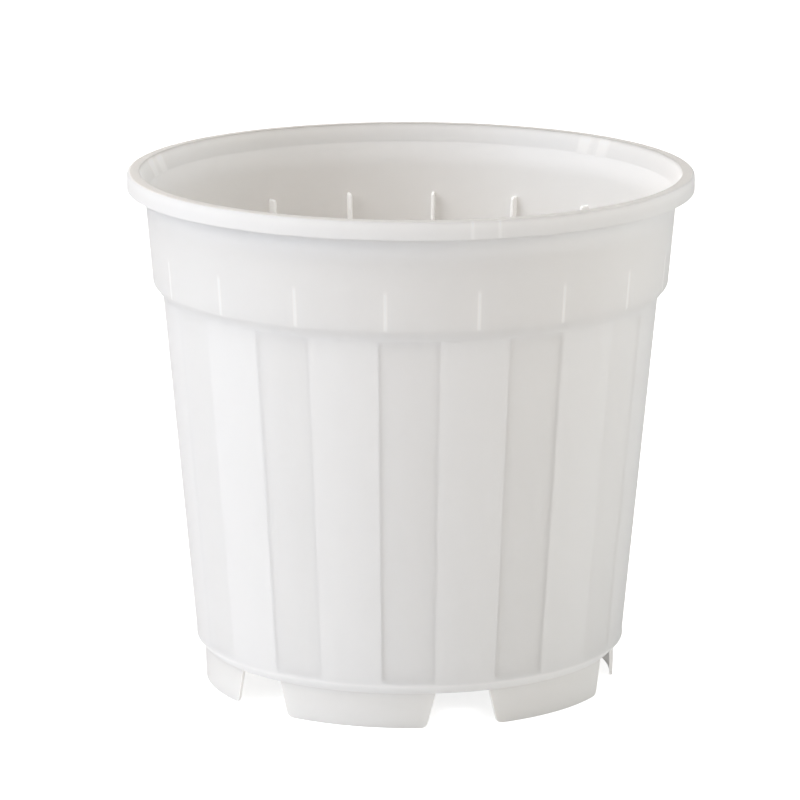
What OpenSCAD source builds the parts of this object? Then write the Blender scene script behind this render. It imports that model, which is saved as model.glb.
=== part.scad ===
// Orchid pot: a thin plastic pot with a hollow lip, a stacking collar, a fluted wall and a ring of feet.
// Angles run round the pot from the -Y side, which is its front, towards +X.

/* [Overall] */
// Outer diameter of the lip
lip_d = 120; // [100:1:200]
// Height from the ground to the top of the lip
pot_h = 110; // [80:1:200]
// Thickness of the moulded wall, which the raised panels add their step to
wall = 0.8; // [0.5:0.05:1.1]

/* [Lip] */
// Height of the lip's skirt
lip_h = 3.8; // [2.5:0.1:6]
// How far the lip stands out past the collar
lip_overhang = 3.7; // [2.8:0.1:6]
// Width of the lip's top, from its outer face to its inner edge
lip_land = 2.7; // [2.2:0.1:2.9]
// Rounding of the lip's outer top edge
lip_round = 0.8; // [0.3:0.1:1.2]
// Rounding of the lip's inner top edge and of thin edges
edge_round = 0.3; // [0.1:0.05:0.4]

/* [Lip webs] */
// Number of pairs of webs under the lip
web_pairs = 3; // [2:1:8]
// Distance between the two webs of a pair
web_spacing = 5.7; // [3:0.1:12]
// Thickness of a web
web_t = 0.7; // [0.5:0.1:1.5]
// How far a web stops above the skirt's lower edge
web_inset = 0.3; // [0.1:0.1:1]

/* [Collar] */
// Height of the collar, from the lip to the shoulder
collar_h = 19.8; // [14:0.1:40]
// How much the collar's radius narrows on the way down
collar_draft = 1.7; // [0.5:0.1:4]
// Height of the sloped shoulder under the collar
shoulder_h = 2.4; // [1.2:0.1:5]
// Width of the sloped shoulder
shoulder_w = 2; // [1.2:0.1:5]
// Rounding of the collar's lower edge
shoulder_round = 1.6; // [0.4:0.1:2.5]

/* [Stacking ribs] */
// Number of ribs that keep stacked pots apart
rib_count = 18; // [6:1:36]
// Height of a rib above the shoulder's inner ledge
rib_h = 8.3; // [4:0.1:12]
// Thickness of a rib
rib_t = 0.85; // [0.5:0.05:2]
// How far a rib stands back from the ledge's edge
rib_setback = 0.4; // [0.2:0.1:0.8]

/* [Fluted wall] */
// Number of raised panels round the wall
flute_count = 12; // [6:1:24]
// Share of each pitch that the raised panel takes
raised_share = 0.555; // [0.35:0.005:0.7]
// Step between a raised and a recessed panel
flute_depth = 0.5; // [0.2:0.05:0.7]
// How much the wall's radius narrows on the way down
wall_draft = 6.75; // [1:0.05:12]

/* [Base] */
// Height of the slope at the foot of the wall
base_h = 2.4; // [2:0.1:6]
// Width of the slope at the foot of the wall
base_w = 1.8; // [0.5:0.05:4]
// Rounding of the slope's upper edge
base_round = 0.6; // [0.2:0.1:0.8]
// Thickness of the floor
floor_t = 1; // [0.7:0.05:1.5]
// Diameter of the outer drain holes
drain_d = 8; // [4:0.5:12]
// Distance from the feet's outer face to the centres of the outer drain holes
drain_inset = 11; // [8:0.5:14]
// Diameter of the middle drain hole
middle_drain_d = 10; // [4:0.5:16]

/* [Feet] */
// Number of feet, with a gap and a drain hole between each two
foot_count = 6; // [4:1:8]
// Height of a foot
foot_h = 7.5; // [5:0.1:14]
// How much a foot's outer face leans in on the way down
foot_draft = 0.2; // [0:0.1:0.6]
// Thickness of a foot at the ground
foot_edge_t = 0.6; // [0.45:0.05:1.1]
// Width of a gap under the floor
gap_top_w = 11.4; // [6:0.1:14]
// Width of a gap at the ground
gap_foot_w = 15.2; // [14:0.1:18]
// Rounding of a foot's lower corners
foot_corner = 1.5; // [0.5:0.1:2.5]

/* [Hidden] */
$fn = 144;
plastic = [0.90, 0.90, 0.89];
arc_steps = 5;
overrun = 1;

// Heights of the planes where one region of the moulding ends and the next starts
lip_z = pot_h - lip_h;
shoulder_top_z = lip_z - collar_h;
wall_top_z = shoulder_top_z - shoulder_h;
wall_foot_z = foot_h + base_h;

// Outer radii at those planes, from the lip down
lip_r = lip_d / 2;
collar_r = lip_r - lip_overhang;
shoulder_r = collar_r - collar_draft;
wall_top_r = shoulder_r - shoulder_w;
wall_foot_r = wall_top_r - wall_draft;
foot_r = wall_foot_r - base_w;

// Points inside the collar where its wall meets the ledge, and where the ledge ends
ledge_top = [shoulder_r - wall, shoulder_top_z + wall / 2];
ledge_foot = [wall_in_r(wall_top_z), wall_top_z];
rib_depth = ledge_top.x - ledge_foot.x - rib_setback;
rib_top_z = ledge_top.y + rib_h;

// Angles round the pot
flute_pitch = 360 / flute_count;
raised_angle = flute_pitch * raised_share;
foot_pitch = 360 / foot_count;

// Outer radius of a raised panel, and inner radius of the wall, at height z
function raised_r(z) = wall_foot_r + (z - wall_foot_z) * wall_draft / (wall_top_z - wall_foot_z);
function wall_in_r(z) = raised_r(z) - flute_depth - wall;

// Outer radius of the collar at height z, which its inner face follows one wall further in
function collar_out_r(z) = shoulder_r + (z - shoulder_top_z) * collar_draft / collar_h;

// Angle, in degrees, that a length takes on a circle
function angle_of(length, r) = length / r * 180 / PI;

function unit(v) = v / norm(v);

// Arc of radius r that rounds the corner b between the points a and c
function fillet(a, b, c, r) =
    let (u = unit(a - b))
    let (w = unit(c - b))
    let (half = acos(u * w) / 2)
    let (centre = b + unit(u + w) * r / sin(half))
    let (from = b + u * r / tan(half) - centre)
    let (to = b + w * r / tan(half) - centre)
    let (turn = acos(from * to / (r * r)) * sign(cross(from, to)))
    let (start = atan2(from.y, from.x))
    [for (i = [0:arc_steps]) centre + r * [cos(start + turn * i / arc_steps), sin(start + turn * i / arc_steps)]];

// Turns its children, drawn along +X, to an angle round the pot from the front
module at_angle(angle) rotate([0, 0, angle - 90]) children();

// Revolves an outline through a span, with its middle at an angle round the pot
module sector(outline, angle, span)
    at_angle(angle - span / 2)
        rotate_extrude(angle = span)
            polygon(outline);

// Band between two heights, from a depth under the raised panels' outer face to another
function band(low_z, high_z, deep, shallow) = [
    [raised_r(low_z) - deep, low_z],
    [raised_r(low_z) - shallow, low_z],
    [raised_r(high_z) - shallow, high_z],
    [raised_r(high_z) - deep, high_z]
];

// The lip's section: inner flare, flat top and a skirt that hangs clear of the collar
lip_in = [collar_r - wall, lip_z];
lip_crown = [lip_r - lip_land, pot_h];
lip_edge = [lip_r, pot_h];
lip_hem = [lip_r, lip_z];
under_z = pot_h - wall;
flare_slope = (lip_crown.x - lip_in.x) / lip_h;
function flare_out_r(z) = collar_r + (z - lip_z) * flare_slope;

module lip()
    color(plastic)
        rotate_extrude()
            polygon(concat(
                [lip_in],
                fillet(lip_in, lip_crown, lip_edge, edge_round),
                fillet(lip_crown, lip_edge, lip_hem, lip_round),
                fillet(lip_edge, lip_hem, lip_hem - [wall, 0], edge_round),
                [
                    [lip_r - wall, lip_z],
                    [lip_r - wall, under_z],
                    [flare_out_r(under_z), under_z],
                    [collar_r, lip_z]
                ]
            ));

// Small upright webs that tie the skirt to the lip, in pairs
web_foot_z = lip_z + web_inset;
web_half_angle = angle_of(web_spacing / 2, lip_r);
web_outline = [
    [flare_out_r(web_foot_z), web_foot_z],
    [lip_r - wall, web_foot_z],
    [lip_r - wall, under_z],
    [flare_out_r(under_z), under_z]
];

module lip_webs()
    color(plastic)
        for (pair = [0:web_pairs - 1], side = [-1, 1])
            sector(web_outline, pair * 360 / web_pairs + side * web_half_angle, angle_of(web_t, lip_r));

// The collar's drafted wall, with the rounded and sloped shoulder under it
module collar()
    color(plastic)
        rotate_extrude()
            polygon(concat(
                [
                    [collar_r - wall, lip_z],
                    [collar_r, lip_z]
                ],
                fillet([collar_r, lip_z], [shoulder_r, shoulder_top_z], [wall_top_r, wall_top_z], shoulder_round),
                [
                    [wall_top_r, wall_top_z],
                    ledge_foot,
                    ledge_top
                ]
            ));

// Ribs that stand on the ledge inside the collar
rib_foot = ledge_top - (ledge_top - ledge_foot) * rib_depth / (ledge_top.x - ledge_foot.x);
rib_back_top = [collar_out_r(rib_top_z) - wall, rib_top_z];
rib_front_top = rib_back_top - [rib_depth, 0];
rib_outline = concat(
    [ledge_top, rib_back_top],
    fillet(rib_back_top, rib_front_top, rib_foot, edge_round),
    [rib_foot]
);

module stacking_ribs()
    color(plastic)
        for (i = [0:rib_count - 1])
            sector(rib_outline, i * 360 / rib_count, angle_of(rib_t, ledge_top.x));

// The wall: smooth inside, with recessed panels cut between the raised ones outside
recess_outline = band(wall_foot_z - overrun, wall_top_z + overrun, flute_depth, -overrun);

module fluted_wall()
    color(plastic)
        difference() {
            rotate_extrude()
                polygon(band(wall_foot_z, wall_top_z, wall + flute_depth, 0));
            for (i = [0:flute_count - 1])
                sector(recess_outline, (i + 1 / 2) * flute_pitch, flute_pitch - raised_angle);
        }

// The slope at the foot of the wall and the floor, with its drain holes
floor_z = foot_h + floor_t;
floor_r = foot_r - wall + (wall_in_r(wall_foot_z) - foot_r + wall) * floor_t / base_h;

module base()
    color(plastic)
        difference() {
            rotate_extrude()
                polygon(concat(
                    [
                        [0, foot_h],
                        [foot_r, foot_h]
                    ],
                    fillet([foot_r, foot_h], [wall_foot_r, wall_foot_z - base_round],
                        [wall_foot_r, wall_foot_z], base_round),
                    [
                        [wall_foot_r, wall_foot_z],
                        [wall_in_r(wall_foot_z), wall_foot_z],
                        [floor_r, floor_z],
                        [0, floor_z]
                    ]
                ));
            translate([0, 0, foot_h - overrun])
                cylinder(d = middle_drain_d, h = floor_t + 2 * overrun);
            for (i = [0:foot_count - 1])
                at_angle(i * foot_pitch)
                    translate([foot_r - drain_inset, 0, foot_h - overrun])
                        cylinder(d = drain_d, h = floor_t + 2 * overrun);
        }

// One side of a gap's outline, seen from outside the pot: a slanted edge that rounds outwards at the ground
gap_top = [gap_top_w / 2, foot_h];
gap_foot = [gap_foot_w / 2, 0];
gap_side = fillet(gap_top, gap_foot, gap_foot + [foot_corner, 0], foot_corner);
function mirrored(points) = [for (i = [len(points) - 1:-1:0]) [-points[i].x, points[i].y]];
gap_half = concat(
    [gap_top],
    gap_side,
    [gap_side[arc_steps] - [0, overrun]]
);

module gap(angle)
    at_angle(angle)
        rotate([90, 0, 90])
            linear_extrude(foot_r + overrun)
                polygon(concat(gap_half, mirrored(gap_half)));

// A foot: the stretch of the thin ring under the floor that two gaps leave standing
foot_outline = concat(
    [
        [foot_r - wall, foot_h],
        [foot_r, foot_h]
    ],
    fillet([foot_r, foot_h], [foot_r - foot_draft, 0], [foot_r - foot_draft - foot_edge_t, 0], edge_round),
    [[foot_r - foot_draft - foot_edge_t, 0]]
);

module foot(i)
    color(plastic)
        rotate([0, 0, (i - 1 / 2) * foot_pitch])
            difference() {
                sector(foot_outline, 0, foot_pitch);
                gap(-foot_pitch / 2);
                gap(foot_pitch / 2);
            }

lip();
lip_webs();
collar();
stacking_ribs();
fluted_wall();
base();
for (i = [1:foot_count])
    foot(i);
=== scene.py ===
"""Orchid pot of thin milky plastic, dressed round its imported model.

Laid out as an add-on and run as a script: each operator makes one region of the moulding or the
stage. Angles run round the pot from its front, -Y, towards +X. Lengths are in metres, and the
milkiness of a piece is told as a thickness in millimetres.
"""

import math

import bmesh
import bpy
import numpy as np
from bpy.props import FloatProperty, FloatVectorProperty, IntProperty, PointerProperty
from mathutils import Matrix, Vector


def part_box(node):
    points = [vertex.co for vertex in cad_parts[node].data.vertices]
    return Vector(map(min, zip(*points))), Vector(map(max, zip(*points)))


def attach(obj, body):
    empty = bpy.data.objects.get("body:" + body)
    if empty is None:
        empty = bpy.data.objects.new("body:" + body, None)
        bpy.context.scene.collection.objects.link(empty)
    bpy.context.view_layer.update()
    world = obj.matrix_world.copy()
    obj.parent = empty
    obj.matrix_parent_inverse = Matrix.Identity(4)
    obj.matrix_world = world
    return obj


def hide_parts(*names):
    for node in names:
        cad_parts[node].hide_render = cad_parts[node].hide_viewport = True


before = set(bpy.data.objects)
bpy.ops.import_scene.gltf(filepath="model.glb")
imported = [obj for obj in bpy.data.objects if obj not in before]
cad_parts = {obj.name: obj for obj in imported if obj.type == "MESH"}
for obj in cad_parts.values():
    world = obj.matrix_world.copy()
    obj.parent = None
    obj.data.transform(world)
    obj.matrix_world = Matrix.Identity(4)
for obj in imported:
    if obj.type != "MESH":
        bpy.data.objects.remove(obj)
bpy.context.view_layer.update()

bl_info = {
    "name": "Orchid Pot",
    "version": (1, 0, 0),
    "blender": (4, 5, 0),
    "location": "View3D > Sidebar > Orchid Pot",
    "description": "Dresses a thin milky plastic orchid pot and sets its stage",
    "category": "Object",
}

MM = 0.001
FULL_TURN = 2 * math.pi
THICKNESS = "thickness_mm"
# Attribute of painted light: the share of an emission that makes a point glow, though it is no lamp
PAINTED_LIGHT = "painted_light"
FACING = "facing"


def reach(node):
    """How far a CAD node reaches from the pot's axis: the least of its box's four sideways
    distances."""
    low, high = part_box(node)
    return min(high.x, high.y, -low.x, -low.y)


def prop(kind, name, description, default, **limits):
    """A property of a kind, with its name, description, default and limits."""
    return kind(name=name, description=description, default=default, **limits)


def length(name, description, default):
    """A length in metres."""
    return prop(FloatProperty, name, description, default, unit="LENGTH", precision=5)


def share(name, description, default):
    """A share from none to all."""
    return prop(FloatProperty, name, description, default, min=0.0, max=1.0, subtype="FACTOR")


def painted_light_share(name, shown_where, default):
    """A share of the painted light, an emission, and where it is painted."""
    return share(name, "Share of the led light that " + shown_where, default)


def milk(name, description, default):
    """Milkiness, told as the thickness in millimetres of plastic that has it."""
    return prop(FloatProperty, name, description + " in millimetres", default)


def count(name, description, default, least=1):
    """A whole number."""
    return prop(IntProperty, name, description, default, min=least)


def vector(name, description, default, subtype, **limits):
    """Three numbers."""
    return prop(FloatVectorProperty, name, description, default, subtype=subtype, size=3, **limits)


def tint(name, description, default):
    """A colour of three shares."""
    return vector(name, description, default, "COLOR", min=0.0, max=1.0)


def turn(name, description, degrees):
    """An angle, given in degrees."""
    return prop(FloatProperty, name, description, math.radians(degrees), subtype="ANGLE")


class OrchidPotSizes(bpy.types.PropertyGroup):
    """Sizes of the moulding"""

    wall: length("Wall", "Thickness of the plain wall", 0.8 * MM)
    lip_radius: length("Lip radius", "Outer radius of the lip", reach("lip"))
    pot_height: length("Height", "Height of the lip's top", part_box("lip")[1].z)
    lip_foot: length("Lip foot", "Height of the skirt's lower edge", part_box("lip")[0].z)
    lip_land: length("Lip land", "Width of the lip's top", 2.7 * MM)
    collar_radius: length(
        "Collar radius", "Outer radius of the collar under the lip", reach("collar"))
    lip_round: length("Lip rounding", "Rounding of the lip's outer top edge", 0.8 * MM)
    edge_round: length("Edge rounding", "Rounding of the other thin edges", 0.3 * MM)
    # Painted shade: the lip's flat top gets less milkiness, so it shows darker, as little light
    # falls on it from above
    land_painted_shade: share("Land thinning", "How much milkiness the lip's flat top lacks", 0.9)
    # Painted light: shares of an emission that makes the ribs, the ribs' marks on the collar, the
    # webs' marks on the lip and the feet glow
    rib_glow: painted_light_share("Rib glow", "a rib shows", 0.28)
    mark_glow: painted_light_share("Mark glow", "a rib gives the collar in front of it", 0.34)
    web_glow: painted_light_share("Web glow", "a web gives the lip in front of it", 0.22)
    foot_glow: painted_light_share("Foot glow", "a foot's inner face shows", 0.4)
    foot_end_glow: painted_light_share("Foot end glow", "a foot's end faces show", 0.8)
    web_pairs: count("Web pairs", "Pairs of webs in the lip's hollow", 3)
    web_spacing: length("Web spacing", "Distance between the two webs of a pair", 5.7 * MM)
    web_thickness: length("Web thickness", "Thickness of one web", 0.7 * MM)
    # Half width of a web's painted glow on the flare
    web_spread: length(
        "Web spread", "Half width of a web's light on the flare in front of it", 1.7 * MM)
    # Painted highlight: a glow along the lip's top edges
    lip_crest_glow: painted_light_share("Lip crest glow", "the lip's top edges show", 0.15)
    lip_extra: milk("Milk of the lip", "Extra milkiness of the lip", 0.15)
    # Painted light: the collar just under the lip is made milkier, so lighter, lifting the lip's
    # shadow on it
    painted_light_under_lip: milk("Milk under the lip", "Extra milkiness of the collar under the lip", 2.0)
    painted_light_under_lip_height: length(
        "Milk height", "How far down the collar is milkier under the lip", 6.0 * MM)
    collar_share: share("Collar milk", "Milkiness of the collar as a share of the wall's", 0.88)
    # Partly painted light: the corner is made milkier, so lighter, where the plastic is thicker and
    # the shade under the shoulder falls
    shoulder_milk_and_painted_light: milk(
        "Shoulder milk", "Extra milkiness of the corner between shoulder and wall", 0.6)
    shoulder_radius: length(
        "Shoulder radius", "Radius of the collar where the shoulder starts", 54.6 * MM)
    shoulder_top: length("Shoulder top", "Height where the shoulder starts", 86.4 * MM)
    shoulder_round: length("Shoulder rounding", "Rounding of the collar's lower edge", 1.6 * MM)
    wall_top_radius: length(
        "Wall top radius", "Radius of the raised panels at their top", reach("fluted_wall"))
    wall_top: length("Wall top", "Height of the panels' top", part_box("fluted_wall")[1].z)
    wall_foot_radius: length(
        "Wall foot radius", "Radius of the raised panels at their foot", reach("base"))
    wall_foot: length("Wall foot", "Height of the panels' foot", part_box("base")[1].z)
    rib_count: count("Ribs", "Stacking ribs inside the collar", 18)
    rib_top: length("Rib top", "Height of the ribs' top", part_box("stacking_ribs")[1].z)
    rib_depth: length("Rib depth", "How far a rib stands in from the collar", 2.1 * MM)
    rib_thickness: length("Rib thickness", "Thickness of one rib", 0.7 * MM)
    panel_count: count("Raised panels", "Raised panels round the wall", 12, least=3)
    raised_share: share("Raised share", "Share of each pitch that the raised panel takes", 0.555)
    panel_step: length("Panel step", "Step between a raised and a recessed panel", 0.5 * MM)
    raised_milk: share(
        "Raised milk", "Share of the step that adds to a raised panel's milkiness", 0.65)
    step_width: length("Step width", "Width over which a panel's edge rounds off", 0.9 * MM)
    step_fade: length(
        "Step fade", "Height over which a recess runs out at the wall's top and foot", 1.2 * MM)
    foot_radius: length(
        "Foot radius", "Radius of the foot ring under the floor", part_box("foot_2")[1].x)
    foot_height: length("Foot height", "Height of the feet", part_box("base")[0].z)
    floor_thickness: length("Floor", "Thickness of the floor", 1.0 * MM)
    slope_round: length("Slope rounding", "Rounding of the slope's upper edge", 0.6 * MM)
    base_milk: milk("Milk of the base", "Extra milkiness of the base", 0.4)
    # Painted light: lifts the shade of the slope and the outer underside below the wall's foot
    slope_glow: painted_light_share("Slope glow", "the slope at the foot shows", 0.25)
    drain_radius: length("Drain radius", "Radius of an outer drain hole", 4.0 * MM)
    drain_ring: length("Drain ring", "Radius of the circle of outer drain holes", 33.05 * MM)
    middle_drain_radius: length("Middle drain radius", "Radius of the middle drain hole", 5.0 * MM)
    foot_count: count("Feet", "Feet round the ring", 6, least=3)
    foot_draft: length("Foot draft", "How far a foot's outer face leans in", 0.2 * MM)
    foot_edge: length("Foot edge", "Thickness of a foot at the ground", 0.6 * MM)
    gap_top: length("Gap top", "Half width of a gap under the floor", 5.7 * MM)
    gap_ground: length(
        "Gap at the ground", "Half width of a gap at the ground before its rounding", 7.6 * MM)
    foot_corner: length("Foot corner", "Rounding of a foot's lower corners", 1.5 * MM)


class OrchidPotPlastic(bpy.types.PropertyGroup):
    """Colour and finish of the milky plastic"""

    colour: tint("Colour", "Colour of the light sent back", (0.93, 0.922, 0.905))
    deep_colour: tint("Through colour", "Colour of the light let through", (0.93, 0.915, 0.884))
    milkiness: prop(
        FloatProperty, "Half depth", "Thickness in millimetres that sends half of the light back",
        0.35)
    roughness: share("Roughness", "Roughness of the satin surface", 0.33)
    refraction: prop(
        FloatProperty, "Refraction", "Refractive index of the plastic", 1.49, min=1.0)
    # Painted light: strength of the emission that makes ribs, marks, feet, the slope and the lip's
    # top edges glow, though none is a lamp
    glow: share("Painted light", "Strength of the painted light that makes ribs, webs, feet and edges glow", 0.45)
    softness: share(
        "Softness", "How much light spread in the plastic softens the shading of its forms", 0.85)


class OrchidPotStage(bpy.types.PropertyGroup):
    """Camera and light"""

    camera_place: vector(
        "Camera", "Place of the camera", (-0.26298, -1.00285, 0.29744), "TRANSLATION", precision=4)
    camera_heading: turn("Heading", "Direction of view round the pot, from +Y towards +X", 14.574)
    camera_pitch: turn("Pitch", "How far the camera looks down", 12.904)
    camera_roll: turn("Roll", "Roll of the camera", 0.141)
    camera_lens: prop(FloatProperty, "Lens", "Focal length in millimetres", 224.13)
    sky: tint("Sky", "Even light from all round", (0.5, 0.5, 0.503))
    sky_gloss: share("Sky gloss", "Strength of the sky in the plastic's gloss", 0.48)
    backdrop_gloss: share(
        "Backdrop gloss", "Strength in the plastic's gloss of what stands behind the pot", 0.15)
    floor_glow: share(
        "Floor glow", "Glow that the camera sees on the floor, so that it stays near white", 0.76)
    floor_gloss: share("Floor gloss", "Strength of the floor in the plastic's gloss", 0.1)


# Shapes

SHARP_EDGE = math.radians(50)
WELD_DISTANCE = 1e-7
ANGLE_DIGITS = 7
LEAST_ANGLE = 1e-4
LEAST_SPACING = 0.02


def unit(vectors):
    """Vectors of length one, from each vector over its length."""
    return vectors / np.linalg.norm(vectors, axis=-1, keepdims=True)


def turned(radius, angle, height):
    """Points at a radius, an angle round the pot and a height: x is r sin a, y is -r cos a, z is
    the height."""
    radius, angle, height = np.broadcast_arrays(radius, angle, height)
    return np.stack([radius * np.sin(angle), -radius * np.cos(angle), height], axis=-1)


def rounded(corners, radii, closed=True, steps=6):
    """An outline with arcs for corners: an arc of radius r leaves each edge at r / tan(half the
    corner's angle) from the corner, about a centre that lies r / sin(half the angle) along the
    bisector. An open outline keeps its ends."""
    corners = np.asarray(corners, float)
    radii = np.asarray(radii, float)[:, None]
    back = unit(np.roll(corners, 1, axis=0) - corners)
    ahead = unit(np.roll(corners, -1, axis=0) - corners)
    half = np.arccos(np.clip((back * ahead).sum(-1), -1, 1))[:, None] / 2
    centre = corners + unit(back + ahead) * radii / np.sin(half)
    start = corners + back * radii / np.tan(half) - centre
    end = corners + ahead * radii / np.tan(half) - centre
    sweep = np.arctan2(start[:, 0] * end[:, 1] - start[:, 1] * end[:, 0], (start * end).sum(-1))
    angle = sweep[:, None] * np.linspace(0, 1, steps + 1)
    cos, sin = np.cos(angle), np.sin(angle)
    x, y = start[:, :1], start[:, 1:]
    arcs = np.stack([x * cos - y * sin, x * sin + y * cos], axis=-1) + centre[:, None]
    if closed:
        return arcs.reshape(-1, 2)
    return np.concatenate([corners[:1], arcs[1:-1].reshape(-1, 2), corners[-1:]])


def filled_in(outline, spacing, closed=True):
    """The outline with points added, so that no two neighbours are further apart than the spacing:
    straight-line interpolation along its length at its own points and at even steps. A point that
    comes within a small share of the spacing behind another is left out."""
    path = np.concatenate([outline, outline[:1]]) if closed else outline
    along = np.concatenate([[0], np.cumsum(np.linalg.norm(np.diff(path, axis=0), axis=1))])
    places = np.union1d(along, np.linspace(0, along[-1], int(along[-1] / spacing) + 2))
    nearest = spacing * LEAST_SPACING
    places = places[np.concatenate([[True], np.diff(places) > nearest])]
    if closed:
        places = places[places < along[-1] - nearest]
    else:
        places[-1] = along[-1]
    return np.stack([np.interp(places, along, path[:, k]) for k in (0, 1)], axis=-1)


def both_sides(steps):
    """The steps, which start at nought, to both sides of it."""
    return np.concatenate([-steps[:0:-1], steps])


def ring_angles(even_steps, marks=(), offsets=()):
    """Angles of a full turn in even steps, with closer ones at given offsets from each mark. Of
    angles that nearly meet, one stays."""
    even = np.arange(even_steps) * FULL_TURN / even_steps
    beside = np.asarray(marks, float)[:, None] + np.asarray(offsets, float)
    angles = np.mod(np.concatenate([even, beside.ravel()]), FULL_TURN)
    angles = np.unique(np.round(angles, ANGLE_DIGITS))
    kept = np.concatenate([[True], np.diff(angles) > LEAST_ANGLE])
    return angles[kept & (angles < FULL_TURN - LEAST_ANGLE)]


def away_from(angle, marks):
    """Angle from each point to its nearest mark round the pot."""
    difference = np.asarray(angle)[..., None] - np.asarray(marks)
    return np.abs((difference + math.pi) % FULL_TURN - math.pi).min(-1)


def eased(value):
    """0 below nought, 1 above one and 3t^2 - 2t^3 between."""
    value = np.clip(value, 0, 1)
    return value * value * (3 - 2 * value)


def bar(distance, half_width, blur):
    """1 inside a bar, 0 outside it, and eased over the blur at its edge."""
    return eased((half_width - distance) / blur + 0.5)


def grid_faces(rows, columns, close_rows=False, close_columns=False):
    """Quads between neighbours of a grid that is numbered row by row."""
    i = np.arange(rows if close_rows else rows - 1)[:, None]
    j = np.arange(columns if close_columns else columns - 1)[None, :]
    across, up = (j + 1) % columns, (i + 1) % rows
    corners = (i * columns + j, i * columns + across, up * columns + across, up * columns + j)
    return np.stack(np.broadcast_arrays(*corners), -1).reshape(-1, 4)


def repeated(faces, copies, points_each):
    """The faces once for each copy, with numbers that go on by the points of one copy."""
    starts = np.arange(copies)[:, None, None] * points_each
    return (faces + starts).reshape(-1, 4)


def outward(outline, step):
    """Directions out of the outline: each step turned by a quarter, to the side that the sign of
    its area gives, which is the sum of its points crossed with their steps."""
    area = (outline[:, 0] * step[:, 1] - outline[:, 1] * step[:, 0]).sum()
    return unit(np.stack([step[:, 1], -step[:, 0]], axis=-1)) * np.sign(area)


def placed(name, data):
    """A new object in the scene, at the origin."""
    thing = bpy.data.objects.new(name, data)
    bpy.context.scene.collection.objects.link(thing)
    return thing


def add_piece(name, points, faces, thickness, nodes, normals=None, glow=0.0):
    """Makes a piece of points, quads and a thickness at each point, turned outwards, and has it
    stand for its nodes. Given normals shade it in place of its own, and the glow is the share of
    painted light, an emission, at each point."""
    points = np.asarray(points, float).reshape(-1, 3)
    mesh = bpy.data.meshes.new(name)
    mesh.from_pydata(points.tolist(), [], faces.tolist())
    for attribute, values in ((THICKNESS, thickness), (PAINTED_LIGHT, glow)):
        layer = mesh.attributes.new(attribute, "FLOAT", "POINT")
        layer.data.foreach_set("value", np.broadcast_to(values, len(points)).astype(np.float32))
    if normals is not None:
        facing = mesh.attributes.new(FACING, "FLOAT_VECTOR", "POINT")
        facing.data.foreach_set("vector", np.asarray(normals, np.float32).reshape(-1))
    welded = bmesh.new()
    welded.from_mesh(mesh)
    bmesh.ops.remove_doubles(welded, verts=welded.verts, dist=WELD_DISTANCE)
    bmesh.ops.recalc_face_normals(welded, faces=welded.faces)
    open_edges = sum(not edge.is_manifold for edge in welded.edges)
    welded.to_mesh(mesh)
    welded.free()
    if open_edges:
        raise RuntimeError(f"{name} has {open_edges} open edges")
    mesh.shade_smooth()
    mesh.set_sharp_from_angle(angle=SHARP_EDGE)
    if normals is not None:
        vectors = np.empty(len(mesh.vertices) * 3, np.float32)
        mesh.attributes[FACING].data.foreach_get("vector", vectors)
        mesh.normals_split_custom_set_from_vertices(vectors.reshape(-1, 3))
        mesh.attributes.remove(mesh.attributes[FACING])
    mesh.materials.append(plastic())
    piece = placed(name, mesh)
    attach(piece, "root")
    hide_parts(*nodes)
    return piece


def round_edges(piece, width):
    """Rounds the piece's sharp edges with a live bevel of two segments."""
    bevel = piece.modifiers.new("Edge rounding", "BEVEL")
    bevel.width = width
    bevel.segments = 2
    bevel.limit_method = "ANGLE"
    bevel.angle_limit = SHARP_EDGE
    bevel.use_clamp_overlap = True


def revolved(outline, angles):
    """Grid points of an outline of radii and heights turned once round the axis, a row for each of
    its points."""
    return turned(outline[:, :1], angles[None, :], outline[:, 1:])


LEVEL_WEIGHT = 0.01


def soft_normals(outline, angles, slope, softness):
    """Normals of the revolved outline, softened as light spread in the plastic does. A point's own
    normal is the sum of its two edges', each weighted by the square of its sideways part and a
    little more. It moves by the softness towards that of the plain wall, whose radius grows by the
    slope: not at all where less than a third of it is sideways, and fully where more than two
    thirds are."""
    edge = outward(outline, np.roll(outline, -1, axis=0) - outline)
    edge *= np.abs(edge[:, :1]) ** 2 + LEVEL_WEIGHT
    own = unit(edge + np.roll(edge, 1, axis=0))
    side = np.sign(own[:, :1])
    plain = unit(side * np.array([1.0, -slope]))
    share_of_plain = softness * eased(np.abs(own[:, :1]) * 3 - 1)
    mixed = unit(own * (1 - share_of_plain) + plain * share_of_plain)
    return turned(mixed[:, :1], angles[None, :], mixed[:, 1:])


PLATE_MIDDLE = 0.3
PLATE_BULGE = 0.4


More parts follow.
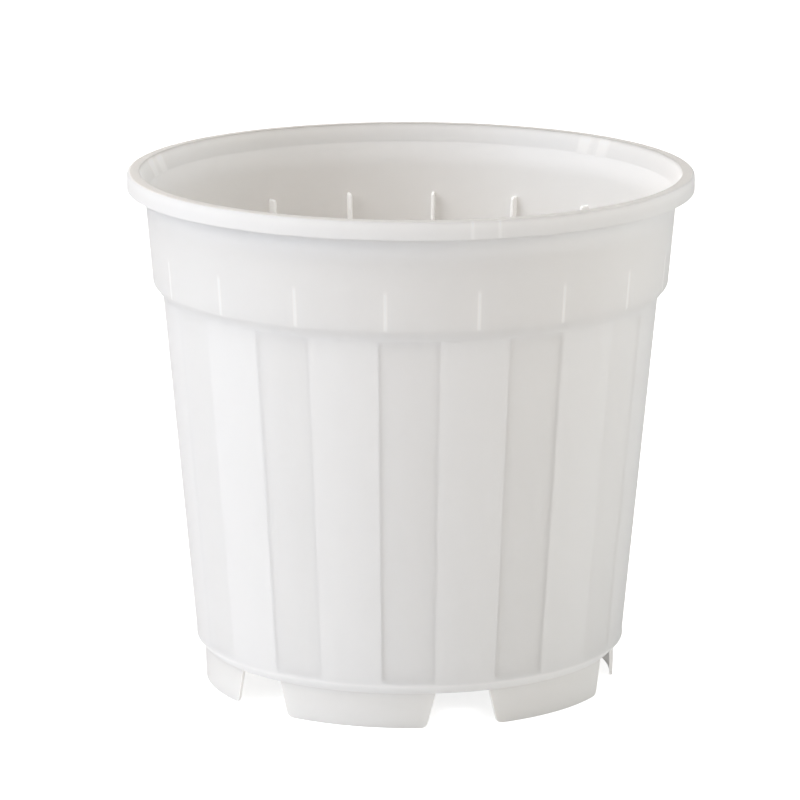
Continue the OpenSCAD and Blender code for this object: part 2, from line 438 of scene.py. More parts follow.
def plates(outline, angles, thickness, edge=0.0):
    """Flat upright plates: an outline of radii and heights moved half a thickness to each side,
    then turned to each angle. Each side is closed by strips to the outline's middle, and steps in
    by the edge's width at its rim. The normals of the rim lean to each side by the bulge and those
    of the sides lean towards the axis, as light spread in a thin plate shows it."""
    middle = outline.mean(0)
    grown = np.array([0, PLATE_MIDDLE, 1 - 2 * edge / np.ptp(outline[:, 0]), 1])
    grown = np.concatenate([grown, grown[::-1]])[:, None, None]
    rows = middle + (outline - middle) * grown
    side = np.array([1, 1, 1, 1 - 2 * edge / thickness])
    side = np.concatenate([-side, side[::-1]])[:, None]
    radius, sideways = rows[..., 0], np.broadcast_to(side * thickness / 2, rows.shape[:2])
    angle = np.asarray(angles)[:, None, None]
    square = angle + FULL_TURN / 4
    points = turned(radius, angle, rows[..., 1]) + turned(sideways, square, 0.0)
    rim = outward(outline, np.roll(outline, -1, axis=0) - np.roll(outline, 1, axis=0))
    on_rim = (grown == 1)[..., 0]
    away = np.where(on_rim, rim[:, 0], -PLATE_BULGE)
    upward = np.where(on_rim, rim[:, 1], 0)
    aside = np.sign(sideways) * np.where(on_rim, PLATE_BULGE, 1)
    facing = turned(away, angle, upward) + turned(aside, square, 0.0)
    faces = grid_faces(len(rows), len(outline), close_columns=True)
    faces = repeated(faces, len(angles), rows.shape[0] * rows.shape[1])
    return points, faces, unit(facing)


# Material

CLOUD = {"Scale": 55.0, "Detail": 3.0, "Roughness": 0.55}
GRAIN = {"Scale": 1500.0, "Detail": 2.0}
RIPPLE = {"Scale": 120.0, "Detail": 1.0}
CLOUD_SHADE = 0.985
CLOUD_ROUGHNESS = 0.06
GRAIN_ROUGHNESS = 0.03
RIPPLE_HEIGHT = 0.12 * MM
RIPPLE_STRENGTH = 0.04

# The Mix node's sockets for its factor and its two colours, and its colour output
MIX_FACTOR, MIX_FIRST, MIX_SECOND, MIX_RESULT = 0, 6, 7, 2


class Wire:
    """A socket that takes part in sums: each operator adds its Math node."""

    def __init__(self, socket):
        self.socket = socket
        self.tree = socket.id_data

    def math(self, operation, first, second):
        operands = {0: first, 1: second}
        return add_node(self.tree, "ShaderNodeMath", {"operation": operation}, operands)

    def __add__(self, other):
        return self.math("ADD", self, other)

    def __sub__(self, other):
        return self.math("SUBTRACT", self, other)

    def __rsub__(self, other):
        return self.math("SUBTRACT", other, self)

    def __mul__(self, other):
        return self.math("MULTIPLY", self, other)

    def __truediv__(self, other):
        return self.math("DIVIDE", self, other)

    def __rtruediv__(self, other):
        return self.math("DIVIDE", other, self)

    __radd__ = __add__
    __rmul__ = __mul__


def add_node(tree, kind, settings=None, inputs=None, output=0):
    """Adds a node: its settings first, then the value or link of each named or numbered socket.
    Gives the named or numbered output, if the node has any."""
    node = tree.nodes.new(kind)
    for name, value in (settings or {}).items():
        setattr(node, name, value)
    for name, value in (inputs or {}).items():
        if isinstance(value, Wire):
            tree.links.new(value.socket, node.inputs[name])
        else:
            node.inputs[name].default_value = value
    return Wire(node.outputs[output]) if node.outputs else None


def blended(tree, factor, first, second):
    """A colour between two colours."""
    sockets = {MIX_FACTOR: factor, MIX_FIRST: first, MIX_SECOND: second}
    return add_node(tree, "ShaderNodeMix", {"data_type": "RGBA"}, sockets, MIX_RESULT)


def noise(tree, place, pattern):
    """Noise of a pattern's scale and detail over the piece."""
    return add_node(tree, "ShaderNodeTexNoise", None, {"Vector": place, **pattern})


def with_alpha(colour, brightness=1.0):
    """A colour of four numbers, made brighter or darker."""
    return tuple(c * brightness for c in colour) + (1.0,)


def empty_tree(owner):
    """The node tree of a material or world, without its first nodes."""
    owner.use_nodes = True
    owner.node_tree.nodes.clear()
    return owner.node_tree


def plastic():
    """Milky plastic. Its surface sends back the share t / (t + half depth) of the light, where t is
    the thickness behind it, and lets the rest through, so ribs, webs and raised panels show lighter
    than the thin wall. On some pieces the thickness also carries painted light and shade, and an
    emission from the painted light attribute is painted light that makes parts glow."""
    name = "milky_plastic"
    if name in bpy.data.materials:
        return bpy.data.materials[name]
    look = bpy.context.scene.orchid_plastic
    material = bpy.data.materials.new(name)
    tree = empty_tree(material)
    place = add_node(tree, "ShaderNodeTexCoord", output="Object")
    cloud, grain, ripple = (noise(tree, place, pattern) for pattern in (CLOUD, GRAIN, RIPPLE))
    thickness, painted = (
        add_node(tree, "ShaderNodeAttribute", {"attribute_name": attribute}, output="Fac")
        for attribute in (THICKNESS, PAINTED_LIGHT))
    sent_back = thickness / (thickness + look.milkiness)
    bump = add_node(tree, "ShaderNodeBump", None, {
        "Strength": RIPPLE_STRENGTH, "Distance": RIPPLE_HEIGHT, "Height": ripple})
    least_roughness = look.roughness - (GRAIN_ROUGHNESS + CLOUD_ROUGHNESS) / 2
    surface = add_node(tree, "ShaderNodeBsdfPrincipled", None, {
        "Base Color": blended(
            tree, cloud, with_alpha(look.colour, CLOUD_SHADE), with_alpha(look.colour)),
        "Roughness": grain * GRAIN_ROUGHNESS + cloud * CLOUD_ROUGHNESS + least_roughness,
        # Painted light: an emission, set by the painted light attribute, makes parts glow though
        # they are no lamps
        "Emission Color": blended(tree, painted, (0.0, 0.0, 0.0, 1.0), with_alpha(look.colour)),
        "Emission Strength": look.glow,
        "Normal": bump,
        "IOR": look.refraction,
    })
    gloss = add_node(tree, "ShaderNodeFresnel", None, {"IOR": look.refraction, "Normal": bump})
    through = add_node(tree, "ShaderNodeBsdfTranslucent", None, {
        "Color": blended(
            tree, cloud, with_alpha(look.deep_colour, CLOUD_SHADE), with_alpha(look.deep_colour)),
        "Normal": bump,
    })
    both = add_node(tree, "ShaderNodeMixShader", None, {
        0: (1 - sent_back) * (1 - gloss), 1: surface, 2: through})
    add_node(tree, "ShaderNodeOutputMaterial", None, {"Surface": both})
    return material


# Operators

RIM_STEPS = 360
WALL_STEPS = 240


def rib_angles(s):
    """Angles of the stacking ribs, evenly round the pot."""
    return np.arange(s.rib_count) * FULL_TURN / s.rib_count


def web_angles(s):
    """Angles of the webs: half their spacing to each side of each pair's middle."""
    half = s.web_spacing / 2 / s.lip_radius
    pairs = np.arange(s.web_pairs) * FULL_TURN / s.web_pairs
    return (pairs[:, None] + np.array([-half, half])).ravel()


def under_flare(s, height):
    """Radius of the flare's hidden side, which widens evenly from the collar's face at the lip's
    foot."""
    widening = (s.lip_radius - s.lip_land - s.collar_radius + s.wall) / (s.pot_height - s.lip_foot)
    return s.collar_radius + widening * (height - s.lip_foot)


def cone_radius(s, height):
    """Radius of the raised panels' face, which narrows evenly from the wall's top to its foot."""
    rise = (np.asarray(height) - s.wall_foot) / (s.wall_top - s.wall_foot)
    return s.wall_foot_radius + rise * (s.wall_top_radius - s.wall_foot_radius)


def collar_radius(s, height):
    """Outer radius of the collar, which narrows evenly from the lip to the shoulder."""
    rise = (np.asarray(height) - s.shoulder_top) / (s.lip_foot - s.shoulder_top)
    return s.shoulder_radius + rise * (s.collar_radius - s.shoulder_radius)


def inner_radius(s, height):
    """Radius of the wall's inner face: that of the raised panels less the step and the wall."""
    return cone_radius(s, height) - s.panel_step - s.wall


def ledge(s):
    """Top and foot of the ledge inside the shoulder, as radii and heights."""
    top = (s.shoulder_radius - s.wall, s.shoulder_top + s.wall / 2)
    return top, (float(inner_radius(s, s.wall_top)), s.wall_top)


def wall_slope(s):
    """Growth of the wall's radius with height."""
    return (s.wall_top_radius - s.wall_foot_radius) / (s.wall_top - s.wall_foot)


def add_ring(name, context, outline, angles, thickness, nodes, glow):
    """Makes a piece of a closed outline turned once round the axis, with softened normals and a
    thickness for each point of the outline."""
    slope = wall_slope(context.scene.orchid_sizes)
    facing = soft_normals(outline, angles, slope, context.scene.orchid_plastic.softness)
    add_piece(name, revolved(outline, angles), grid_faces(len(outline), len(angles), True, True),
              np.repeat(thickness, len(angles)), nodes, facing, glow.ravel())


class ORCHID_OT_lip(bpy.types.Operator):
    """Makes the hollow lip: inner flare, flat top with rounded edges and a skirt clear of the
    collar"""

    bl_idname = "orchid_pot.lip"
    bl_label = "Lip"

    def execute(self, context):
        s = context.scene.orchid_sizes
        spacing, web_blur, flare_blur, crest_height = 0.45 * MM, 0.6 * MM, 1.0 * MM, 2.5 * MM
        beside_web = np.array([0, 0.15, 0.3, 0.45, 0.6, 0.8, 1.1]) * MM
        collar, thin = s.collar_radius, s.edge_round
        under = s.pot_height - s.wall
        skirt = s.lip_radius - s.wall
        outline = rounded([
            (collar - s.wall, s.lip_foot), (s.lip_radius - s.lip_land, s.pot_height),
            (s.lip_radius, s.pot_height), (s.lip_radius, s.lip_foot), (skirt, s.lip_foot),
            (skirt, under), (under_flare(s, under), under), (collar, s.lip_foot),
        ], [0, thin, s.lip_round, thin, thin / 2, thin, thin, 0])
        outline = filled_in(outline, spacing)
        marks = web_angles(s)
        angles = ring_angles(RIM_STEPS, marks, both_sides(beside_web) / s.lip_radius)
        radius, height = outline.T
        land = eased((height - under) / s.wall) * eased((s.lip_radius - radius) / s.lip_round)

        # Painted light: a web's mark is a glow, narrow on the skirt and wide on the flare
        flare_face = np.arange(len(outline)) < height.argmax()
        from_web = away_from(angles, marks) * s.lip_radius
        narrow = bar(from_web, s.web_thickness / 2, web_blur)
        wide = bar(from_web, s.web_spread, flare_blur)
        mark = np.where(flare_face[:, None], wide, narrow) * s.web_glow
        # Painted highlight: the lip glows near its top, except on the flat top
        crest = eased(1 - (s.pot_height - height) / crest_height) * (1 - land)
        painted = np.minimum(mark + s.lip_crest_glow * crest[:, None], 1)
        # Painted shade: the flat top's milkiness is cut, so it shows darker
        thickness = (s.wall / MM + s.lip_extra) * (1 - s.land_painted_shade * land)
        add_ring("hollow_lip", context, outline, angles, thickness, ["lip"], painted)
        return {"FINISHED"}


class ORCHID_OT_lip_webs(bpy.types.Operator):
    """Makes the pairs of small upright webs in the lip's hollow"""

    bl_idname = "orchid_pot.lip_webs"
    bl_label = "Lip webs"

    def execute(self, context):
        s = context.scene.orchid_sizes
        spacing = 0.5 * MM
        low, high = (corner.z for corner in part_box("lip_webs"))
        skirt = s.lip_radius - s.wall
        outline = np.array([
            (under_flare(s, low), low), (skirt, low), (skirt, high), (under_flare(s, high), high)])
        points, faces, facing = plates(filled_in(outline, spacing), web_angles(s), s.web_thickness)
        thickness = (s.lip_radius - s.collar_radius) / MM
        add_piece("lip_web_pairs", points, faces, thickness, ["lip_webs"], facing)
        return {"FINISHED"}


class ORCHID_OT_collar(bpy.types.Operator):
    """Makes the stacking collar with its rounded shoulder and inner ledge"""

    bl_idname = "orchid_pot.collar"
    bl_label = "Collar"

    def execute(self, context):
        s = context.scene.orchid_sizes
        spacing, mark_blur, mark_top_blur, mark_foot_blur = 0.6 * MM, 0.5 * MM, 1.2 * MM, 0.8 * MM
        beside_rib = np.array([0, 0.2, 0.4, 0.55, 0.7, 0.9, 1.3]) * MM
        corner_height = 1.6 * MM
        collar = s.collar_radius
        ledge_top, ledge_foot = ledge(s)
        outline = rounded([
            (collar - s.wall, s.lip_foot), (collar, s.lip_foot),
            (s.shoulder_radius, s.shoulder_top), (s.wall_top_radius, s.wall_top),
            ledge_foot, ledge_top,
        ], [0, 0, s.shoulder_round, 0, 0, s.edge_round])
        outline = filled_in(outline, spacing)
        marks = rib_angles(s)
        angles = ring_angles(RIM_STEPS, marks, both_sides(beside_rib) / s.shoulder_radius)
        height = outline[:, 1]

        # Painted light: each rib's mark on the collar is a glow that ends at the rib's top and at
        # the shoulder
        from_rib = away_from(angles, marks) * s.shoulder_radius
        beside = bar(from_rib, s.rib_thickness / 2, mark_blur)
        above_shoulder = eased((height - s.shoulder_top) / mark_foot_blur + 0.5)
        along = eased((s.rib_top - height) / mark_top_blur) * above_shoulder
        mark = along[:, None] * beside[None, :]
        # Partly painted light: the corner between shoulder and wall is lighter, for its thicker
        # plastic and to lift the shade under the shoulder
        corner = s.shoulder_milk_and_painted_light * eased(1 - np.abs(height - s.wall_top) / corner_height)
        # Painted light: the collar is made milkier, so lighter, just under the lip, lifting the
        # lip's shadow
        painted_under_lip = s.painted_light_under_lip * eased(1 - (s.lip_foot - height) / s.painted_light_under_lip_height)
        thickness = s.collar_share * s.wall / MM + corner + painted_under_lip
        add_ring("stacking_collar", context, outline, angles, thickness, ["collar"],
                 mark * s.mark_glow)
        return {"FINISHED"}


class ORCHID_OT_ribs(bpy.types.Operator):
    """Makes the ribs that stand on the ledge inside the collar"""

    bl_idname = "orchid_pot.ribs"
    bl_label = "Stacking ribs"

    def execute(self, context):
        s = context.scene.orchid_sizes
        spacing, fine, inner_round, soft_edge = 0.8 * MM, 0.05 * MM, 0.6 * MM, 0.12 * MM
        top = np.array([float(collar_radius(s, s.rib_top)) - s.wall, s.rib_top])
        ledge_top, ledge_foot = np.array(ledge(s))
        foot = ledge_top - (ledge_top - ledge_foot) * s.rib_depth / (ledge_top[0] - ledge_foot[0])
        outline = rounded([ledge_top, top, top - [s.rib_depth, 0], foot],
                          [fine, fine, inner_round, fine], steps=4)
        outline = filled_in(outline, spacing)
        points, faces, facing = plates(outline, rib_angles(s), s.rib_thickness, soft_edge)
        # Painted light: the rib glow share makes the ribs glow, so they show brighter than their
        # lighting makes them
        add_piece("spacer_ribs", points, faces, s.rib_depth / MM, ["stacking_ribs"], facing,
                  s.rib_glow)
        return {"FINISHED"}


class ORCHID_OT_wall(bpy.types.Operator):
    """Makes the wall of raised and recessed panels, smooth inside"""

    bl_idname = "orchid_pot.wall"
    bl_label = "Panelled wall"

    def execute(self, context):
        s = context.scene.orchid_sizes
        edge_reach, edge_columns, fade_rows, rows = 0.75, 13, 7, 40
        pitch = FULL_TURN / s.panel_count
        middles = np.arange(s.panel_count) * pitch
        half = pitch * s.raised_share / 2
        steps = (middles[:, None] + np.array([-half, half])).ravel()
        middle_radius = (s.wall_top_radius + s.wall_foot_radius) / 2
        offsets = np.linspace(-edge_reach, edge_reach, edge_columns) * s.step_width / middle_radius
        angles = ring_angles(WALL_STEPS, steps, offsets)
        beyond = (away_from(angles, middles) - half) * middle_radius / s.step_width
        sunk = eased(beyond + 0.5)
        fade = np.linspace(0, s.step_fade, fade_rows)
        heights = np.concatenate([
            s.wall_foot + fade, np.linspace(s.wall_foot, s.wall_top, rows)[1:-1],
            s.wall_top - fade[::-1]])
        from_foot, from_top = heights - s.wall_foot, s.wall_top - heights
        shown = eased(from_foot / s.step_fade) * eased(from_top / s.step_fade)
        depth = s.panel_step * shown[:, None] * sunk[None, :]
        up, around = heights[:, None], angles[None, :]
        outer = turned(cone_radius(s, up) - depth, around, up)
        inner = turned(inner_radius(s, up), around, up)
        points = np.concatenate([outer, inner[::-1]])
        plain = unit(turned(1.0, around, np.full((len(heights), 1), -wall_slope(s))))
        thickness = (s.wall + s.raised_milk * (s.panel_step - depth)) / MM
        thickness = np.concatenate([thickness, thickness[::-1]])
        add_piece("panelled_wall", points, grid_faces(len(points), len(angles), True, True),
                  thickness.ravel(), ["fluted_wall"], np.concatenate([plain, -plain[::-1]]))
        return {"FINISHED"}


class ORCHID_OT_base(bpy.types.Operator):
    """Makes the slope at the wall's foot and the floor with its drain holes"""

    bl_idname = "orchid_pot.base"
    bl_label = "Base"

    arc, spokes, hub, sheet_steps = 48, 14, 12, 4
    floor_inset = 1.5 * MM
    slope_spacing = 0.4 * MM
    hole_round, hole_knee = 0.15 * MM, 0.04 * MM

    def execute(self, context):
        s = context.scene.orchid_sizes
        edge, low = s.foot_radius - self.floor_inset, s.foot_height
        top = low + s.floor_thickness
        slope, slope_faces, facing, painted = self.slope(s, edge, top, low)
        parts = [(slope, slope_faces), self.floor(s, edge, top, low), self.hub_hole(s, top, low)]
        points, faces, numbered = [], [], 0
        for part_points, part_faces in parts:
            points.append(part_points.reshape(-1, 3))
            faces.append(part_faces + numbered)
            numbered += len(points[-1])
        points = np.concatenate(points)
        facing = np.concatenate([facing, np.zeros((len(points) - len(facing), 3))])
        painted = np.concatenate([painted, np.zeros(len(points) - len(painted))])
        thickness = s.wall / MM + s.base_milk
        add_piece("drained_base", points, np.concatenate(faces), thickness, ["base"], facing, painted)
        return {"FINISHED"}

    def slope(self, s, edge, top, low):
        """The slope as an open outline, from the floor's edge below to the one above, turned once
        round the axis. Its outer side has the plain wall's normals and a painted light that lifts
        the shade of the slope below its rounding."""
        angles = self.ring(s, self.arc)
        inner_foot = s.foot_radius - s.wall
        inner_top = float(inner_radius(s, s.wall_foot))
        rise = s.wall_foot - s.foot_height
        floor_edge = inner_foot + (inner_top - inner_foot) * s.floor_thickness / rise
        outline = rounded([
            (edge, low), (s.foot_radius, low), (s.wall_foot_radius, s.wall_foot - s.slope_round),
            (s.wall_foot_radius, s.wall_foot), (inner_top, s.wall_foot), (floor_edge, top),
            (edge, top),
        ], [0, 0, s.slope_round, 0, 0, s.edge_round, 0], closed=False)
        outline = filled_in(outline, self.slope_spacing, closed=False)
        height = outline[:, 1]
        outside = np.arange(len(outline)) <= height.argmax()
        facing = soft_normals(outline, angles, wall_slope(s), outside[:, None]).reshape(-1, 3)
        # Painted light: the outer side glows below the slope's rounding, lifting its shade
        painted = outside * s.slope_glow * eased((s.wall_foot - height) / s.slope_round)
        faces = grid_faces(len(outline), len(angles), close_columns=True)
        return revolved(outline, angles), faces, facing, np.repeat(painted, len(angles))

    def floor(self, s, edge, top, low):
        """Wedges of floor, each in rings round its drain hole: straight-line blends from the
        wedge's border to the hole's rim above, down the hole and back to the border below. The
        border runs from its outer arc along a side, the hub and back."""
        wedge = FULL_TURN / s.foot_count
        half = wedge / 2
        hub_radius = s.middle_drain_radius + self.hole_round
        spoke = np.linspace(edge, hub_radius, self.spokes + 1)[:-1]
        spoke_back = np.linspace(hub_radius, edge, self.spokes + 1)[:-1]
        border = np.concatenate([
            turned(edge, np.linspace(-half, half, self.arc + 1)[:-1], 0),
            turned(spoke, half, 0),
            turned(hub_radius, np.linspace(half, -half, self.hub + 1)[:-1], 0),
            turned(spoke_back, -half, 0),
        ])[:, :2]
        centre = np.array([0.0, -s.drain_ring])
        away = unit(border - centre)
        widening, depth = self.hole(top, low)
        blend = np.linspace(1, 0, self.sheet_steps + 1)[:-1, None, None]
        rim = centre + away * (s.drain_radius + widening[0])
        sheet = border + (rim - border) * (1 - blend)
        inside = centre + away * (s.drain_radius + widening[:, None, None])
        rings = np.concatenate([
            self.at_height(sheet, top), self.at_height(inside, depth[:, None, None]),
            self.at_height(sheet[::-1], low)])
        turns = np.arange(s.foot_count) * wedge
        cos, sin = np.cos(turns)[:, None, None], np.sin(turns)[:, None, None]
        x, y = rings[None, ..., 0], rings[None, ..., 1]
        z = np.broadcast_to(rings[..., 2], (s.foot_count,) + x.shape[1:])
        wedges = np.stack([x * cos - y * sin, x * sin + y * cos, z], -1)
        faces = grid_faces(len(rings), len(border), close_columns=True)
        return wedges, repeated(faces, s.foot_count, rings.shape[0] * rings.shape[1])

    def hub_hole(self, s, top, low):
        """The middle drain hole's side, turned once round the axis."""
        angles = self.ring(s, self.hub)
        widening, depth = self.hole(top, low)
        outline = np.stack([s.middle_drain_radius + widening, depth], -1)
        return revolved(outline, angles), grid_faces(len(outline), len(angles), close_columns=True)

    def hole(self, top, low):
        """How much wider than its radius a hole is at each of six heights, with both ends
        rounded."""
        wide, knee = self.hole_round, self.hole_knee
        widening = np.array([wide, knee, 0.0, 0.0, knee, wide])
        return widening, np.array([top, top - knee, top - wide, low + wide, low + knee, low])

    def ring(self, s, steps):
        """Angles of a full turn, with even steps in each wedge of floor."""
        wedge = FULL_TURN / s.foot_count
        return np.arange(steps * s.foot_count) * wedge / steps - wedge / 2

    def at_height(self, places, height):
        """Places on a level plane, with their height added."""
        return np.concatenate([places, np.broadcast_to(height, places.shape[:2] + (1,))], -1)


class ORCHID_OT_feet(bpy.types.Operator):
    """Makes the feet that the gaps leave of the thin ring"""

    bl_idname = "orchid_pot.feet"
    bl_label = "Feet"

    def execute(self, context):
        s = context.scene.orchid_sizes
        rows, corner_rows, columns, last_column, bevel = 25, 9, 61, 0.99, 0.12 * MM
        inner_face = s.foot_radius - s.foot_draft - s.foot_edge
        corner_turn = np.linspace(0, math.pi / 2, corner_rows)
        heights = np.union1d(
            np.linspace(0, s.foot_height, rows), s.foot_corner * (1 - np.cos(corner_turn)))[::-1]
        lean = s.foot_draft / s.foot_height
        outer_face = s.foot_radius - lean * (s.foot_height - heights)

        # Half a gap's width: a straight slant, then an arc that leaves it where the two touch
        slant = (s.gap_ground - s.gap_top) / s.foot_height
        secant = math.hypot(1, slant)
        centre = s.gap_ground - slant * s.foot_corner + s.foot_corner * secant
        straight = s.gap_ground - slant * heights
        below_centre = s.foot_corner - heights
        curved = centre - np.sqrt(np.maximum(s.foot_corner**2 - below_centre**2, 0))
        touch = s.foot_corner * (1 - slant / secant)
        half_gap = np.where(heights > touch, straight, curved)

        # Down the outer face and up the inner one, from end to end of the foot
        loop_radius = np.concatenate([outer_face, np.full(len(heights), inner_face)])
        loop_height = np.concatenate([heights, heights[::-1]])
        loop_gap = np.concatenate([half_gap, half_gap[::-1]])
        across = np.concatenate([[-1], np.linspace(-1, 1, columns) * last_column, [1]])
        pitch = FULL_TURN / s.foot_count
        span = pitch / 2 - np.arcsin(loop_gap / loop_radius)
        n, m = len(heights), len(across)
        k = np.arange(n - 1)
        faces = [grid_faces(2 * n, m, close_rows=True)]
        for column, order in ((0, 1), (m - 1, -1)):
            corners = (k, k + 1, 2 * n - 2 - k, 2 * n - 1 - k)
            faces.append(np.stack([row * m + column for row in corners], -1)[:, ::order])
        faces = np.concatenate(faces)
        # Painted light: the feet's inner faces and end faces glow, lifting the shade under the pot
        painted = np.full((2 * n, m), s.foot_glow)
        painted[:n] = 0
        painted[:, [0, -1]] = s.foot_end_glow
        for i in range(s.foot_count):
            angle = (i + 0.5) * pitch + span[:, None] * across
            points = turned(loop_radius[:, None], angle, loop_height[:, None])
            piece = add_piece(f"foot_sector_{i + 1}", points, faces, s.foot_edge / MM,
                              [f"foot_{i + 1}"], glow=painted.ravel())
            round_edges(piece, bevel)
        return {"FINISHED"}


LAMP_DISTANCE = 1.4
LAMP_SIDE = 0.9
LAMPS = {
    # name: angle round the pot from the camera's side, height angle, red, green and blue power
    "left_low": (-60, 5, (1.2, 2.0, 3.3)),
    "left_high": (-60, 35, (6.8, 6.6, 6.4)),
    "left_side": (-90, 35, (4.6, 4.6, 4.7)),
    "left_top": (-90, 65, (5.6, 5.9, 6.3)),
    "left_back": (-150, 35, (4.7, 3.4, 2.4)),
    "front_high": (30, 35, (2.4, 2.1, 1.8)),
    "right_side": (90, 5, (4.0, 4.2, 3.9)),
    "right_back": (120, 5, (6.2, 6.5, 7.1)),
}
SENSOR_WIDTH = 36.0
FAR_CLIP = 20.0
FLOOR_RINGS = (0.001, 0.1, 0.3, 1.0, 3.0)
FLOOR_STEPS = 96
FLOOR_COLOURS = (0.80, 0.82)
FLOOR_MOTTLE = {"Scale": 9.0, "Detail": 2.0}

# Cosines of the angles to straight behind the pot at which the backdrop starts and is full
BACKDROP_START, BACKDROP_FULL = 0.65, 0.85


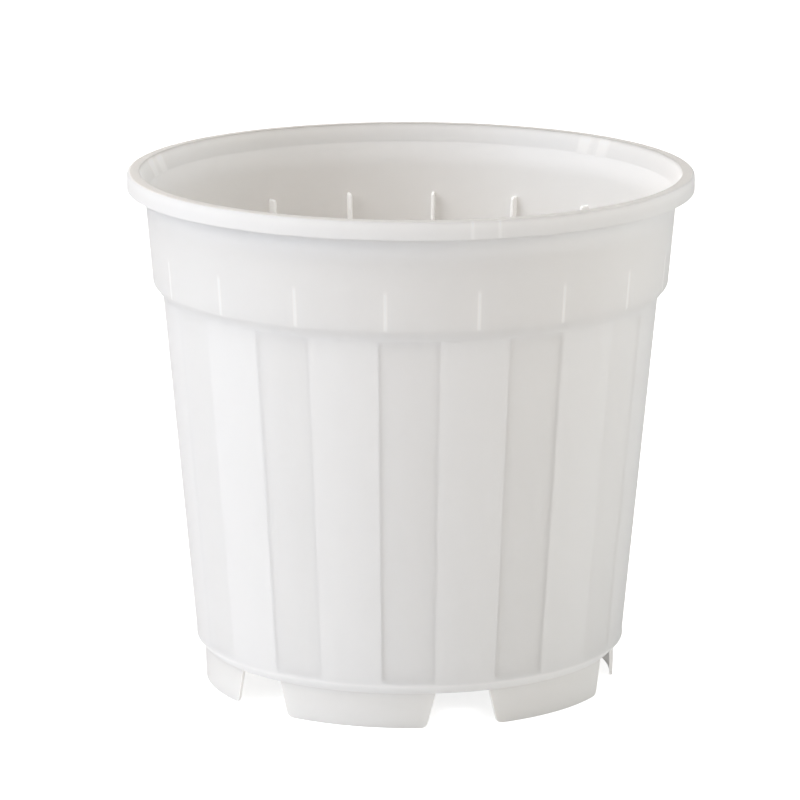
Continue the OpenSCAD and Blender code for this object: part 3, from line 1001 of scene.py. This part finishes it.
class ORCHID_OT_stage(bpy.types.Operator):
    """Sets the pale floor, the soft lamps, the even sky and the camera"""

    bl_idname = "orchid_pot.stage"
    bl_label = "Stage"

    def execute(self, context):
        scene = context.scene
        scene.view_settings.view_transform = "Standard"
        self.floor(scene)
        self.sky(scene)
        self.lamps(scene)
        self.camera(scene)
        return {"FINISHED"}

    def floor(self, scene):
        """A pale disc. The camera sees it with a glow, which keeps it near white and leaves the
        pot's shadow."""
        stage = scene.orchid_stage
        points = turned(np.array(FLOOR_RINGS)[:, None], ring_angles(FLOOR_STEPS)[None, :], 0.0)
        faces = grid_faces(len(FLOOR_RINGS), FLOOR_STEPS, close_columns=True)
        mesh = bpy.data.meshes.new("pale_floor")
        mesh.from_pydata(points.reshape(-1, 3).tolist(), [], faces[:, ::-1].tolist())
        floor = placed("pale_floor", mesh)
        material = bpy.data.materials.new("pale_floor")
        tree = empty_tree(material)
        place = add_node(tree, "ShaderNodeTexCoord", output="Object")
        darker, lighter = (with_alpha((shade,) * 3) for shade in FLOOR_COLOURS)
        mottled = blended(tree, noise(tree, place, FLOOR_MOTTLE), darker, lighter)
        paper = add_node(tree, "ShaderNodeBsdfDiffuse", None, {"Color": mottled})
        seen = add_node(tree, "ShaderNodeLightPath", output="Is Camera Ray")
        gloss = add_node(tree, "ShaderNodeLightPath", output="Is Glossy Ray")
        glow = add_node(tree, "ShaderNodeEmission", None, {"Strength": seen * stage.floor_glow})
        bright = add_node(tree, "ShaderNodeAddShader", None, {0: paper, 1: glow})
        dim = add_node(tree, "ShaderNodeEmission", None, {"Strength": stage.floor_gloss})
        both = add_node(tree, "ShaderNodeMixShader", None, {0: gloss, 1: bright, 2: dim})
        add_node(tree, "ShaderNodeOutputMaterial", None, {"Surface": both})
        mesh.materials.append(material)

    def sky(self, scene):
        """An even sky that the camera sees as white. The plastic's gloss sees it at strengths of
        its own, and darker towards straight behind the pot."""
        stage = scene.orchid_stage
        world = bpy.data.worlds.new("white_sky")
        tree = empty_tree(world)
        seen = add_node(tree, "ShaderNodeLightPath", output="Is Camera Ray")
        gloss = add_node(tree, "ShaderNodeLightPath", output="Is Glossy Ray")
        way = add_node(tree, "ShaderNodeTexCoord", output="Generated")
        behind = (math.sin(stage.camera_heading), math.cos(stage.camera_heading), 0.0)
        facing = add_node(tree, "ShaderNodeVectorMath", {"operation": "DOT_PRODUCT"},
                          {0: way, 1: behind}, "Value")
        steepness = 1 / (BACKDROP_FULL - BACKDROP_START)
        backdrop = facing * steepness - BACKDROP_START * steepness
        sky, dark = (with_alpha((level,) * 3) for level in (stage.sky_gloss, stage.backdrop_gloss))
        lit = blended(tree, gloss, with_alpha(stage.sky), blended(tree, backdrop, sky, dark))
        colour = blended(tree, seen, lit, with_alpha((1.0,) * 3))
        background = add_node(tree, "ShaderNodeBackground", None, {"Color": colour})
        add_node(tree, "ShaderNodeOutputWorld", None, {"Surface": background})
        scene.world = world

    def lamps(self, scene):
        """Square lamps on a ball about the pot's middle, each turned to face it. Angles round the
        pot count from the camera's side."""
        stage = scene.orchid_stage
        toward = math.atan2(stage.camera_place[0], -stage.camera_place[1])
        middle = Vector((0, 0, scene.orchid_sizes.pot_height / 2))
        for name, (angle, rise, power) in LAMPS.items():
            lamp = bpy.data.lights.new(name, "AREA")
            lamp.shape, lamp.size, lamp.energy = "SQUARE", LAMP_SIDE, max(power)
            lamp.color = [part / max(power) for part in power]
            thing = placed(name, lamp)
            rise, angle = math.radians(rise), toward + math.radians(angle)
            level = math.cos(rise)
            way = Vector((level * math.sin(angle), -level * math.cos(angle), math.sin(rise)))
            place = middle + way * LAMP_DISTANCE
            facing = (middle - place).to_track_quat("-Z", "Y")
            thing.matrix_world = Matrix.Translation(place) @ facing.to_matrix().to_4x4()
            thing.visible_camera = False

    def camera(self, scene):
        """The camera at its place, turned by its heading, pitch and roll in that order."""
        stage = scene.orchid_stage
        camera = bpy.data.cameras.new("photo_camera")
        camera.sensor_width, camera.clip_end = SENSOR_WIDTH, FAR_CLIP
        camera.lens = stage.camera_lens
        thing = placed("photo_camera", camera)
        thing.matrix_world = (
            Matrix.Translation(stage.camera_place)
            @ Matrix.Rotation(-stage.camera_heading, 4, "Z")
            @ Matrix.Rotation(math.pi / 2 - stage.camera_pitch, 4, "X")
            @ Matrix.Rotation(stage.camera_roll, 4, "Z")
        )
        scene.camera = thing


class ORCHID_PT_pot(bpy.types.Panel):
    """Lists the pot's regions and the stage"""

    bl_label = "Orchid Pot"
    bl_idname = "ORCHID_PT_pot"
    bl_space_type = "VIEW_3D"
    bl_region_type = "UI"
    bl_category = "Orchid Pot"

    def draw(self, context):
        for scene_name, group in GROUPS.items():
            box = self.layout.box()
            for name in group.__annotations__:
                box.prop(getattr(context.scene, scene_name), name)
        for operator in OPERATORS:
            self.layout.operator(operator.bl_idname)


GROUPS = {
    "orchid_sizes": OrchidPotSizes,
    "orchid_plastic": OrchidPotPlastic,
    "orchid_stage": OrchidPotStage,
}
OPERATORS = (
    ORCHID_OT_lip,
    ORCHID_OT_lip_webs,
    ORCHID_OT_collar,
    ORCHID_OT_ribs,
    ORCHID_OT_wall,
    ORCHID_OT_base,
    ORCHID_OT_feet,
    ORCHID_OT_stage,
)


def register():
    for name, group in GROUPS.items():
        bpy.utils.register_class(group)
        setattr(bpy.types.Scene, name, PointerProperty(type=group))
    for each in OPERATORS + (ORCHID_PT_pot,):
        bpy.utils.register_class(each)


def unregister():
    for each in reversed(OPERATORS + (ORCHID_PT_pot,)):
        bpy.utils.unregister_class(each)
    for name, group in reversed(GROUPS.items()):
        delattr(bpy.types.Scene, name)
        bpy.utils.unregister_class(group)


def main():
    """Makes every region and the stage."""
    register()
    for operator in OPERATORS:
        group, name = operator.bl_idname.split(".")
        getattr(getattr(bpy.ops, group), name)()


if __name__ == "__main__":
    main()
